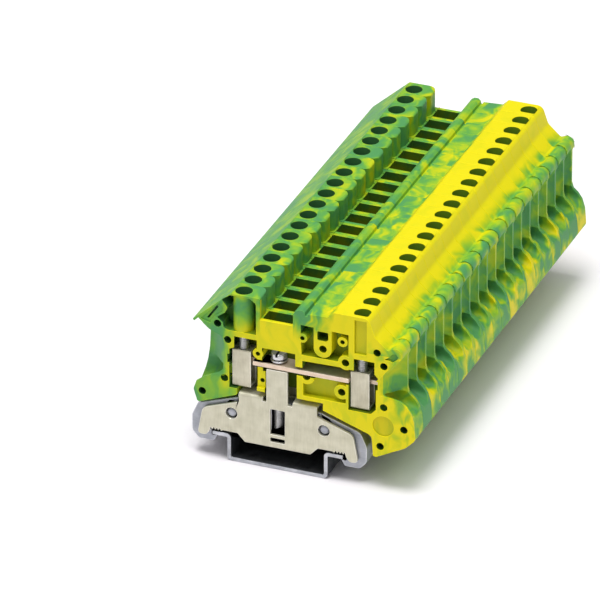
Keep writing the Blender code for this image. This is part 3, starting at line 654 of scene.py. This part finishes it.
def shaft_cutters(rim):
    """The screwdriver shafts and the bridge shaft. The right one is straight on its front and right."""
    left = disc(LEFT_SHAFT, SHAFT_Y, SHAFT_HOLE, 40)
    right = [(min(x, RIGHT_SHAFT + RIGHT_CUT * SHAFT_HOLE), max(y, SHAFT_Y - FRONT_CUT * SHAFT_HOLE))
             for x, y in disc(RIGHT_SHAFT, SHAFT_Y, SHAFT_HOLE, 40)]
    back = DEPTH - 0.02
    pocket = rounded([(-4.2, 0.9, 0.3), (3.8, 0.9, 0.3), (3.8, back, 0.3), (-4.2, back, 0.3)], steps=3)
    return [
        # The screwdriver shafts' walls take painted shade.
        bore("left_shaft", left, SHELF_HIGH, PLASTIC_PAINTED_SHAFT_SHADE, rim),
        bore("right_shaft", right, SHELF_HIGH, PLASTIC_PAINTED_SHAFT_SHADE, rim),
        # The bridge shaft's walls take a darker painted shade.
        along_z("bridge_shaft", pocket, 33.0, TOP, PLASTIC_PAINTED_POCKET_SHADE),
    ]


def shank_cutters():
    """The holes in the shelves for the clamp screws' shanks."""
    return [
        # The shank holes' walls take painted shade.
        along_z(f"{side}_shank", disc(x, SHAFT_Y, SHANK_HOLE), 33.0, SHELF_HIGH + 1, PLASTIC_PAINTED_DEEP_SHADE)
        for side, x in (("left", LEFT_SHAFT), ("right", RIGHT_SHAFT))
    ]


def flank_cutters(front_radius, back_radius):
    """Rounds the shaft column's two upright corners on the bridge channel."""
    edge, margin = -4.6, 0.4
    cutters = []
    for name, radius, corner_y, sign in (("front", front_radius, 0.0, 1), ("back", back_radius, SLICE, -1)):
        arc = []
        for step in range(9):
            angle = math.radians(90 * step / 8)
            arc.append((edge - radius + radius * math.cos(angle),
                        corner_y + sign * radius * (1 - math.sin(angle))))
        outline = [(edge + margin, corner_y + sign * radius), *arc, (edge - radius, corner_y - sign * margin),
                   (edge + margin, corner_y - sign * margin)]
        cutters.append(along_z(f"{name}_flank", outline, BRIDGE_FLOOR - 0.01, TOP + 2))
    return cutters


def bead():
    """The rounded bead along the right wing, a little thicker at each block's front."""
    centre_x, centre_z, thick, thin = 31.35, 38.55, 2.0, 1.78
    profile = [(thick - growth, y) for growth, y in rim_steps(RIM)]
    profile += [(thick, 0.9), (thin + 0.08, 1.9), (thin, SLICE - RIM), (thin - RIM, SLICE)]
    return turned_y("bead", centre_x, centre_z, profile, PLASTIC, segments=40)


def housing_body(name, front_radius, back_radius=2.4, rim=False):
    """One slice before its recesses, with rounded front and back edges if a rim is asked for."""
    outline = housing_outline()
    if rim:
        stations = [(-growth, y) for growth, y in rim_steps(RIM)]
        stations += [(growth, SLICE - y) for growth, y in reversed(stations)]
        rings = [[(x, y, z) for x, z in grown(outline, growth)] for growth, y in stations]
        # The rounded front and back rims take the plastic's painted edge highlight.
        body = solid(name, rings, PLASTIC, PLASTIC_EDGE_HIGHLIGHT, rim_bands=(0, 1, 2, 4, 5, 6))
    else:
        body = along_y(name, outline, 0.0, SLICE, PLASTIC)
    combine(body, "UNION", [bead()])
    combine(body, "DIFFERENCE", funnel_cutters() + flank_cutters(front_radius, back_radius))
    return body


def face_pockets():
    """The moulded recesses of the open front face, with their depths."""
    shaft_pocket = rounded([
        (-12.6, 47.0), (-14.9, 45.4, 0.3), (-13.3, 43.3, 0.5), (-14.0, 41.8, 0.5), (-16.2, 40.2, 0.3),
        (-14.6, 38.9, 0.3), (-14.4, 37.6), (-13.3, SHELF_HIGH), (-5.7, SHELF_HIGH), (-5.7, 45.8, 1.0),
        (-7.4, 47.0),
    ])
    upper_recess = rounded([(6.5, 34.0), (19.0, 34.0), (19.0, 42.0), (6.2, 42.4)])
    bar_slot = [(6.7, 30.2), (19.2, 30.2), (19.2, 32.2), (17.0, 32.5), (6.7, 32.3)]
    lower_recess = rounded([(6.9, 22.5, 0.4), (18.3, 22.5, 0.3), (18.3, 28.4), (6.9, 28.4)])
    web_recess = [(-5.6, 22.4), (-3.2, 22.4), (-3.2, 28.4), (-5.6, 28.4)]
    shaft_panel = box_outline(20.6, 23.8, 37.2, 46.6)
    wing_slot = [(-18.9, 39.5), (-18.4, 39.3), (-15.8, 43.0), (-16.2, 43.4)]
    wing_web = rounded([
        (-20.6, 39.0, 0.3), (-18.0, 38.2, 0.3), (-16.9, 40.3, 0.4), (-14.8, 41.9, 0.4), (-14.4, 43.0, 0.4),
        (-15.6, 44.3, 0.4),
    ])
    bead_recess = rounded([
        (28.3, 36.9, 0.15), (29.6, 37.7, 0.15), (30.6, 38.9, 0.3), (31.5, 39.2, 0.3), (32.2, 38.4, 0.2),
        (32.0, 37.7, 0.2), (30.7, 36.6, 0.15), (29.8, 37.0, 0.15),
    ], steps=3)
    return [
        # The recesses' walls and floors take painted shade: darker in the deep pockets and slots.
        recess("shaft_pocket", shaft_pocket, 4.4, PLASTIC_PAINTED_RECESS_SHADE),
        recess("upper_recess", upper_recess, 3.6, PLASTIC_PAINTED_RECESS_SHADE),
        recess("bar_slot", bar_slot, 4.6, PLASTIC_PAINTED_SHAFT_SHADE),
        # The shallow floors, the bead recess and the mould mark take a lighter painted shade.
        recess("lower_recess", lower_recess, 1.7, PLASTIC_PAINTED_FLOOR_SHADE),
        recess("web_recess", web_recess, 0.7),
        recess("shaft_panel", shaft_panel, 0.6, PLASTIC_PAINTED_FLOOR_SHADE),
        recess("wing_slot", wing_slot, 1.6, PLASTIC_PAINTED_SHAFT_SHADE),
        recess("wing_web", wing_web, 0.3),
        recess("bead_recess", bead_recess, 0.5, PLASTIC_PAINTED_FLOOR_SHADE),
        recess("mould_mark", disc(28.3, 18.1, 2.8, 48), 0.3, PLASTIC_PAINTED_FLOOR_SHADE),
    ]


def face_bosses():
    """The left screw's tube and the bosses that stand in the recesses, flush with the front rim."""
    discs = [(6.7, 38.7, 1.25), (17.4, 39.7, 1.35), (18.2, 34.0, 2.0), (7.8, 28.0, 2.1), (17.2, 25.5, 2.0)]
    back = DEPTH + 0.3
    bosses = [boss(f"boss_{i}", disc(x, z, radius, 36), back) for i, (x, z, radius) in enumerate(discs)]
    pocket_boss = rounded([(9.7, 43.0), (9.7, 34.3, 2.35), (14.5, 34.3, 2.35), (14.5, 43.0)], steps=10)
    bosses.append(boss("pocket_boss", pocket_boss, back))
    bosses.append(turned_z("left_tube", LEFT_SHAFT, SHAFT_Y,
                           [(SHAFT_TUBE, SHELF_HIGH - 0.4), (SHAFT_TUBE, TOP - 0.3)], segments=44))
    return bosses


def room_outlines():
    """The rooms for cages, current bar, earth screw and the neck of the foot."""
    return {
        "left_room": [(-12.9, ROOM_LOW), (-5.5, ROOM_LOW), (-5.5, SHELF_LOW), (-11.6, SHELF_LOW),
                      (-11.6, 32.4), (-12.9, 31.8)],
        "right_room": [(19.0, ROOM_LOW), (25.0, ROOM_LOW), (26.3, 22.3), (26.3, 30.3), (26.9, 31.2),
                       (25.9, 32.3), (25.9, SHELF_LOW), (20.4, SHELF_LOW), (20.4, 32.3), (19.0, 32.3)],
        "screw_room": box_outline(-4.1, 4.8, 27.0, 33.8),
        "neck_room": box_outline(-3.4, 5.2, 20.0, 28.4),
        "bar_room": box_outline(-13.4, 26.8, 27.9, 30.3),
    }


def lift_rooms(low):
    """The space from a height up to the shelves that the cages rise into."""
    return {"left_lift_room": box_outline(-12.9, -5.5, low, SHELF_LOW),
            "right_lift_room": box_outline(19.0, 25.9, low, SHELF_LOW)}


def peg_holes():
    """Holes of the front face that take a cover's pegs, and the smaller ones in the bosses."""
    pegs = [
        (-16.0, 38.4), (-13.3, 34.3), (-14.2, 23.3), (-20.2, 18.4), (26.6, 38.5), (28.4, 35.0),
        (28.4, 23.4), (33.8, 18.1), (27.5, 12.2), (18.2, 34.0), (7.8, 28.0), (17.2, 25.5), (12.2, 36.7),
    ]
    small = [(6.7, 38.7), (17.4, 39.7), (-5.2, 31.9), (-4.2, 24.3)]
    # The peg holes, pin holes and boss pocket take painted shade on their walls.
    cutters = [recess(f"peg_{i}", disc(x, z, PEG_HOLE), 3.6, PLASTIC_PAINTED_DEEP_SHADE) for i, (x, z) in enumerate(pegs)]
    cutters += [recess(f"pin_{i}", disc(x, z, 0.6, 20), 3.2, PLASTIC_PAINTED_DEEP_SHADE) for i, (x, z) in enumerate(small)]
    pocket = rounded([(10.7, 39.0, 0.4), (13.6, 39.0, 0.8), (13.6, 41.5, 0.3), (10.7, 41.5, 0.3)])
    cutters.append(recess("boss_pocket", pocket, 3.4, PLASTIC_PAINTED_DEEP_SHADE))
    return cutters


def make_front_housing():
    """Its own outline is rounded first; every recess, boss and hole then brings its own rounded rim."""
    body = housing_body("front_housing_shell", 0.35, rim=True)
    combine(body, "DIFFERENCE", face_pockets())
    tidy(body)
    combine(body, "UNION", face_bosses())
    tidy(body)
    gap = 0.03  # keeps the lift rooms' walls off the other rooms' walls
    # The lift rooms' and rooms' walls take painted shade.
    lifts = [
        along_y(name, grown(outline, -gap), ROOM_LIP, ROOM_BACK - gap, PLASTIC_PAINTED_DEEP_SHADE)
        for name, outline in lift_rooms(30.0).items()
    ]
    rooms = [recess(name, outline, ROOM_BACK, PLASTIC_PAINTED_DEEP_SHADE) for name, outline in room_outlines().items()]
    combine(body, "DIFFERENCE", lifts + rooms)
    tidy(body)
    combine(body, "UNION", [boss("eyelet", disc(-5.2, 31.9, 1.4), DEPTH + 0.3)])
    tidy(body)
    combine(body, "DIFFERENCE", shaft_cutters(rim=True) + shank_cutters())
    tidy(body)
    combine(body, "DIFFERENCE", peg_holes())
    tidy(body)
    smooth(body)
    belong(body, ROOT, "polyamide", "front_housing")


def make_rear_housings():
    """Every further slice is closed in front but for its wire entries and the openings on top."""
    pattern = housing_body("housing_pattern", 1.6)
    # The cavities' walls take painted shade.
    cavities = [along_y(name, outline, SKIN, ROOM_BACK, PLASTIC_PAINTED_DEEP_SHADE)
                for name, outline in lift_rooms(ROOM_LOW).items()]
    combine(pattern, "DIFFERENCE", cavities)
    combine(pattern, "DIFFERENCE", shaft_cutters(rim=False) + shank_cutters())
    # The rounded edges take the plastic's painted edge highlight.
    dress(pattern, PLASTIC, PLASTIC_EDGE_HIGHLIGHT, edge=RIM)
    for number in range(2, BLOCKS + 1):
        piece = shifted_copy(pattern, f"housing_shell_{number:02d}", number)
        belong(piece, ROOT, "polyamide", f"housing_{number:02d}")
    bpy.data.objects.remove(pattern, do_unlink=True)


# --------------------------------------------------------------------------------------------- metalwork

def foot_sheet():
    """The contact foot's sheet: shoulders, sloped arms, side legs, rail teeth and the flat between."""
    right_half = [
        (10.5, 18.6), (10.5, 17.1, 0.3), (20.2, 13.7, 2.2), (21.6, 6.0, 0.9), (19.3, 6.0, 0.8), (18.4, 7.1),
    ]
    tooth_pitch, tooth_low, tooth_high = 0.8, 7.8, 8.5
    for tooth in range(4):
        x = 18.0 - tooth * tooth_pitch
        right_half += [(x, tooth_high), (x - tooth_pitch / 2, tooth_low)]
    right_half += [(14.7, 8.1), (10.8, 8.1, 0.4), (8.8, 6.0, 0.4)]
    return rounded(mirrored(right_half), steps=5)


def make_contact_foot():
    """Two sheets joined by the bends over their shoulders; the front one carries the neck."""
    foot = along_y("contact_foot_sheets", foot_sheet(), PLATE_FRONT, PLATE_FRONT + PLATE_SHEET, TIN)
    joined = [along_y("back_sheet", foot_sheet(), PLATE_BACK - PLATE_SHEET, PLATE_BACK, TIN)]
    fold = rounded([
        (PLATE_FRONT, 17.6), (PLATE_FRONT, SHOULDER, 0.95), (PLATE_BACK, SHOULDER, 0.95), (PLATE_BACK, 17.6),
        (PLATE_BACK - PLATE_SHEET, 17.6), (PLATE_BACK - PLATE_SHEET, SHOULDER - PLATE_SHEET, 0.25),
        (PLATE_FRONT + PLATE_SHEET, SHOULDER - PLATE_SHEET, 0.25), (PLATE_FRONT + PLATE_SHEET, 17.6),
    ], steps=6)
    joined += [along_x(f"{side}_fold", fold, left, right, TIN)
               for side, left, right in (("left", -10.5, -4.0), ("right", 4.0, 10.5))]
    neck = rounded([(-4.0, 17.8), (-4.0, 18.6), (NECK_LEFT, 18.6, 0.35), (NECK_LEFT, NECK_TOP, 0.3),
                    (NECK_RIGHT, NECK_TOP, 0.3), (NECK_RIGHT, 18.6, 0.35), (4.0, 18.6), (4.0, 17.8)])
    joined.append(along_y("neck", neck, PLATE_FRONT, PLATE_FRONT + PLATE_SHEET, TIN))
    combine(foot, "UNION", joined)
    window = rounded([(-1.95, 9.6, 0.2), (1.95, 9.6, 0.2), (1.95, 16.8, 0.3), (-1.95, 16.8, 0.3)])
    foot_slot = rounded([(-1.95, 7.5, 0.2), (1.95, 7.5, 0.2), (1.95, 8.7, 0.2), (-1.95, 8.7, 0.2)])
    holes = [along_y("window", window, OUTSIDE, BEYOND), along_y("foot_slot", foot_slot, OUTSIDE, BEYOND)]
    holes += [along_y("rivet_hole", disc(x, RIVET_Z, RIVET + CLEAR, 36), OUTSIDE, BEYOND)
              for x in (-RIVET_X, RIVET_X)]
    combine(foot, "DIFFERENCE", holes)
    # Its rounded edges take the painted highlight.
    dress(foot, TIN, TIN_EDGE_HIGHLIGHT, edge=0.13)
    belong(foot, ROOT, "tinned_plate", "contact_foot")
    rear = row_of(foot, "rear_contact_feet")
    belong(rear, ROOT, "tinned_plate")


def make_rivets():
    for side, x in (("left", -RIVET_X), ("right", RIVET_X)):
        front, back = PLATE_FRONT + 0.32, PLATE_BACK - 0.32
        profile = [(0.45, front), (0.85, front + 0.06), (1.12, front + 0.2), (RIVET, front + 0.45),
                   (RIVET, back - 0.45), (1.12, back - 0.2), (0.85, back - 0.06), (0.45, back)]
        rivet = turned_y(f"{side}_rivet_head", x, RIVET_Z, profile, ZINC, segments=36)
        smooth(rivet)
        belong(rivet, ROOT, "zinc_clamp", f"{side}_rivet")


def clamp_section():
    """The clamp foot's section: sloped arms, side legs and hooks that reach under the rail's flanges."""
    right_half = [
        (3.2, 18.6, 0.3), (3.2, 18.0), (11.2, 17.8, 1.0), (21.8, 14.3, 2.0), (23.5, 10.5, 2.0),
        (23.5, 6.0, 1.7),
        (21.6, 4.0, 1.5), (17.6, 4.0, 0.9), (16.4, 6.1, 0.1), (17.3, 6.1, 0.3), (18.0, 5.3, 0.3),
        (18.0, 9.3, 0.4), (10.4, 9.3, 0.4), (8.6, 6.3, 0.2),
    ]
    return rounded(mirrored(right_half), steps=6)


def make_clamp_feet():
    pattern = along_y("clamp_pattern", clamp_section(), CLAMP_FRONT, CLAMP_BACK, ZINC)
    foot = along_y("clamp_foot_strap", clamp_section(), CLAMP_FRONT, CLAMP_BACK, ZINC)
    thread = [(EARTH_THREAD + 0.15, 15.0), (EARTH_THREAD + 0.15, 20.0)]
    cutters = [
        along_y("thread_window", box_outline(-2.05, 1.55, 7.4, 16.4), OUTSIDE, BEYOND, GALVANISED),
        turned_z("thread_bore", EARTH_SHAFT, SHAFT_Y, thread, GALVANISED),
    ]
    half = RIVET + CLEAR
    for x in (-RIVET_X, RIVET_X):
        travel = rounded([(x - half, 11.8, 1.3), (x + half, 11.8, 1.3), (x + half, 16.6, 1.3),
                          (x - half, 16.6, 1.3)])
        cutters.append(along_y("travel_slot", travel, OUTSIDE, BEYOND, GALVANISED))
    combine(foot, "DIFFERENCE", cutters)
    # Their rounded edges take the painted highlight.
    dress(foot, ZINC, ZINC_EDGE_HIGHLIGHT, edge=0.2, segments=3)
    dress(pattern, ZINC, ZINC_EDGE_HIGHLIGHT, edge=0.3, segments=3)
    belong(foot, "clamp_foot", "zinc_clamp", "clamp_foot")
    for number in range(2, BLOCKS + 1):
        piece = shifted_copy(pattern, f"clamp_strap_{number:02d}", number)
        belong(piece, ROOT, "zinc_clamp", f"clamp_foot_{number:02d}")
    bpy.data.objects.remove(pattern, do_unlink=True)


def make_current_bar():
    """Flat bar: full width between the cages, narrowed to pass through them."""
    right, left = BAR_NARROW_RIGHT, BAR_NARROW_LEFT
    plan = rounded([
        (BAR_LEFT, BAR_NARROW_FRONT, 0.3), (left, BAR_NARROW_FRONT, 0.2), (left, BAR_FRONT, 0.2),
        (right, BAR_FRONT, 0.2), (right, BAR_NARROW_FRONT, 0.2), (BAR_RIGHT, BAR_NARROW_FRONT, 0.3),
        (BAR_RIGHT, BAR_NARROW_BACK, 0.3), (right, BAR_NARROW_BACK, 0.2), (right, BAR_BACK, 0.2),
        (left, BAR_BACK, 0.2), (left, BAR_NARROW_BACK, 0.2), (BAR_LEFT, BAR_NARROW_BACK, 0.3),
    ], steps=4)
    bar = along_z("current_bar_strip", plan, BAR_LOW, BAR_HIGH, COPPER)
    hole = [(EARTH_THREAD + CLEAR, BAR_LOW - 1), (EARTH_THREAD + CLEAR, BAR_HIGH + 1)]
    combine(bar, "DIFFERENCE", [turned_z("bar_hole", EARTH_SHAFT, SHAFT_Y, hole)])
    # Its rounded edges take the painted highlight.
    dress(bar, COPPER, COPPER_EDGE_HIGHLIGHT, edge=0.14)
    belong(bar, ROOT, "current_bar", "current_bar")
    belong(row_of(bar, "rear_current_bars"), ROOT, "current_bar")


def cage_sleeve(name, x):
    """A sleeve of bent sheet, open along X for the wire, with a thick threaded lid."""
    section = rounded([
        (CAGE_FRONT, CAGE_LOW, 0.55), (CAGE_BACK, CAGE_LOW, 0.55), (CAGE_BACK, CAGE_HIGH, 0.3),
        (CAGE_FRONT, CAGE_HIGH, 0.3),
    ], steps=5)
    cage = along_x(name, section, x - CAGE_HALF, x + CAGE_HALF, CAGE_TIN)
    low, high = CAGE_LOW + CAGE_SHEET + 0.2, CAGE_HIGH - CAGE_LID
    front, back = CAGE_FRONT + CAGE_SHEET, CAGE_BACK - CAGE_SHEET
    space = rounded([(front, low, 0.3), (back, low, 0.3), (back, high), (front, high)], steps=4)
    thread = [(CLAMP_THREAD + 0.2, high - 1), (CLAMP_THREAD + 0.2, CAGE_HIGH + 1)]
    combine(cage, "DIFFERENCE", [
        along_x("wire_space", space, x - 4, x + 4),
        turned_z("thread", x, SHAFT_Y, thread),
    ])
    # Its rounded edges take the painted highlight.
    dress(cage, CAGE_TIN, TIN_EDGE_HIGHLIGHT, edge=0.16, segments=3)
    return cage


def make_cages():
    for side, x in (("left", LEFT_SHAFT), ("right", RIGHT_SHAFT)):
        cage = cage_sleeve(f"{side}_cage_sleeve", x)
        belong(cage, f"{side}_cage", "cage_plating", f"{side}_cage")
        belong(row_of(cage, f"rear_{side}_cages"), ROOT, "cage_plating")


def threaded(radius, low, high, pitch=0.5, depth=0.16):
    """(radius, z) pairs of a screw thread's flanks between two heights."""
    pairs, crest = [], 0.02
    turns = int((high - low) / pitch)
    for turn in range(turns):
        base = low + (high - low) * turn / turns
        step = (high - low) / turns
        pairs += [(radius - depth, base), (radius - crest, base + 0.4 * step),
                  (radius - crest, base + 0.6 * step)]
    pairs.append((radius - depth, high))
    return pairs


def headed_screw(name, x, tip, radius, head, head_low, head_high, slot):
    """A slotted screw with a threaded shank, point down."""
    profile = [(radius * 0.6, tip), (radius - 0.2, tip + 0.35)]
    profile += threaded(radius, tip + 0.4, head_low - 0.3)
    profile += [(radius - 0.05, head_low - 0.28), (radius - 0.05, head_low)]
    profile += [(head - 0.12, head_low), (head, head_low + 0.12), (head, head_high - 0.4),
                (head - 0.12, head_high - 0.14), (head - 0.4, head_high)]
    screw = turned_z(name, x, SHAFT_Y, profile, STEEL, segments=36)
    half = 0.3
    cut = [(x - half, OUTSIDE), (x + half, OUTSIDE), (x + half, BEYOND), (x - half, BEYOND)]
    combine(screw, "DIFFERENCE", [along_z("slot", cut, head_high - slot, head_high + 2, GALVANISED)])
    return smooth(screw)


def make_screws():
    head_low = SHELF_HIGH + CLEAR
    for side, x in (("left", LEFT_SHAFT), ("right", RIGHT_SHAFT)):
        screw = headed_screw(f"{side}_screw_thread", x, BAR_HIGH + CLEAR, CLAMP_THREAD, CLAMP_HEAD,
                             head_low, head_low + CLAMP_HEAD_HEIGHT, 0.9)
        belong(screw, f"{side}_clamp_screw", "screw_steel", f"{side}_clamp_screw")
        belong(row_of(screw, f"rear_{side}_screws"), ROOT, "screw_steel")
    washer_low = BAR_HIGH + CLEAR
    washer_high = washer_low + WASHER_HEIGHT
    edge = 0.08
    washer = turned_z("washer_ring", EARTH_SHAFT, SHAFT_Y, [
        (WASHER - edge, washer_low), (WASHER, washer_low + edge), (WASHER, washer_high - edge),
        (WASHER - edge, washer_high),
    ], STEEL, segments=40)
    through = [(EARTH_THREAD + 0.2, washer_low - 1), (EARTH_THREAD + 0.2, washer_high + 1)]
    combine(washer, "DIFFERENCE", [turned_z("washer_hole", EARTH_SHAFT, SHAFT_Y, through)])
    smooth(washer)
    belong(washer, ROOT, "screw_steel", "earth_washer")
    earth_low = washer_high + CLEAR
    earth = headed_screw("earth_screw_thread", EARTH_SHAFT, EARTH_TIP, EARTH_THREAD, EARTH_HEAD, earth_low,
                         earth_low + EARTH_HEAD_HEIGHT, 0.8)
    belong(earth, "earth_screw", "screw_steel", "earth_screw")


def make_rail():
    """Bent strip with rounded bends and sawn ends."""
    inner = HAT_HALF - SHEET
    right_half = [
        (inner, SHEET, 0.5), (inner, RAIL_HEIGHT, 1.2), (RAIL_HALF, RAIL_HEIGHT, 0.12),
        (RAIL_HALF, RAIL_HEIGHT - SHEET, 0.12), (HAT_HALF, RAIL_HEIGHT - SHEET, 0.35), (HAT_HALF, 0.0, 1.3),
    ]
    rail = along_y("top_hat_rail", rounded(mirrored(right_half), steps=6), 0.0, ROW, GALVANISED)
    dress(rail, GALVANISED, GALVANISED_SAWN_AND_HIGHLIGHT, edge=0.1)
    # The sawn ends take the lighter material: bare steel's own colour there, a painted highlight on the
    # rounded edges.
    for face in rail.data.polygons:
        if abs(face.normal.y) > 0.9:
            face.material_index = 1
    belong(rail, ROOT, "rail_steel", "din_rail")


# -------------------------------------------------------------------------------------------------- stage

def make_floor():
    side = 6.0
    shape = bmesh.new()
    bmesh.ops.create_grid(shape, x_segments=1, y_segments=1, size=side / 2)
    mesh = bpy.data.meshes.new("floor")
    shape.to_mesh(mesh)
    shape.free()
    floor = bpy.data.objects.new("floor", mesh)
    floor.location.z = RAIL_LOW.z - 0.00005
    bpy.context.scene.collection.objects.link(floor)
    made, tree, shader = start_material("floor")
    shader.inputs["Base Color"].default_value = (0.97, 0.94, 0.975, 1.0)
    shader.inputs["Roughness"].default_value = 0.9
    mesh.materials.append(made)


def aim(item, target):
    item.rotation_mode = "QUATERNION"
    item.rotation_quaternion = (target - item.location).to_track_quat("-Z", "Y")


def bearing(azimuth, elevation):
    a, e = math.radians(azimuth), math.radians(elevation)
    return Vector((math.sin(a) * math.cos(e), -math.cos(a) * math.cos(e), math.sin(e)))


def make_light(name, azimuth, elevation, distance, size, power, colour=(1, 1, 1)):
    lamp = bpy.data.lights.new(name, "AREA")
    lamp.shape = "DISK"
    lamp.size = size
    lamp.energy = power
    lamp.color = colour
    item = bpy.data.objects.new(name, lamp)
    item.location = bearing(azimuth, elevation) * distance
    bpy.context.scene.collection.objects.link(item)
    aim(item, Vector((0, 0, 0.02)))


def make_lights():
    make_light("key", -20, 82, 1.4, 0.8, 16.5)
    make_light("front_fill", -30, 34, 1.6, 1.0, 2.5)
    make_light("right_fill", 70, 64, 1.6, 0.9, 4.2)
    world = bpy.data.worlds.new("studio")
    bpy.context.scene.world = world
    world.use_nodes = True
    world.node_tree.nodes["Background"].inputs["Color"].default_value = (1, 1, 1, 1)
    world.node_tree.nodes["Background"].inputs["Strength"].default_value = 0.32


def make_camera():
    """A long lens, so that the row hardly narrows. The object's centre lies right of the view's centre."""
    azimuth, elevation, distance = 21.6, 28.4, 2.45
    pixels_per_metre, sensor, picture = 3935.0, 36.0, 600
    right_of_centre, above_centre = 0.0233, 0.0048
    camera = bpy.data.cameras.new("camera")
    camera.sensor_width = sensor
    camera.lens = pixels_per_metre * distance * sensor / picture
    camera.clip_start, camera.clip_end = 0.1, 20
    item = bpy.data.objects.new("camera", camera)
    bpy.context.scene.collection.objects.link(item)
    a, e = math.radians(azimuth), math.radians(elevation)
    right = Vector((math.cos(a), math.sin(a), 0))
    up = Vector((-math.sin(a) * math.sin(e), math.cos(a) * math.sin(e), math.cos(e)))
    centre = (CAD_BOX[0] + CAD_BOX[1]) / 2
    target = centre - right * right_of_centre - up * above_centre
    item.location = target + bearing(azimuth, elevation) * distance
    aim(item, target)
    bpy.context.scene.camera = item


make_camera()
make_lights()
make_floor()
bpy.context.scene.view_settings.view_transform = "Standard"

make_front_housing()
make_rear_housings()
make_contact_foot()
make_rivets()
make_clamp_feet()
make_current_bar()
make_cages()
make_screws()
make_rail()
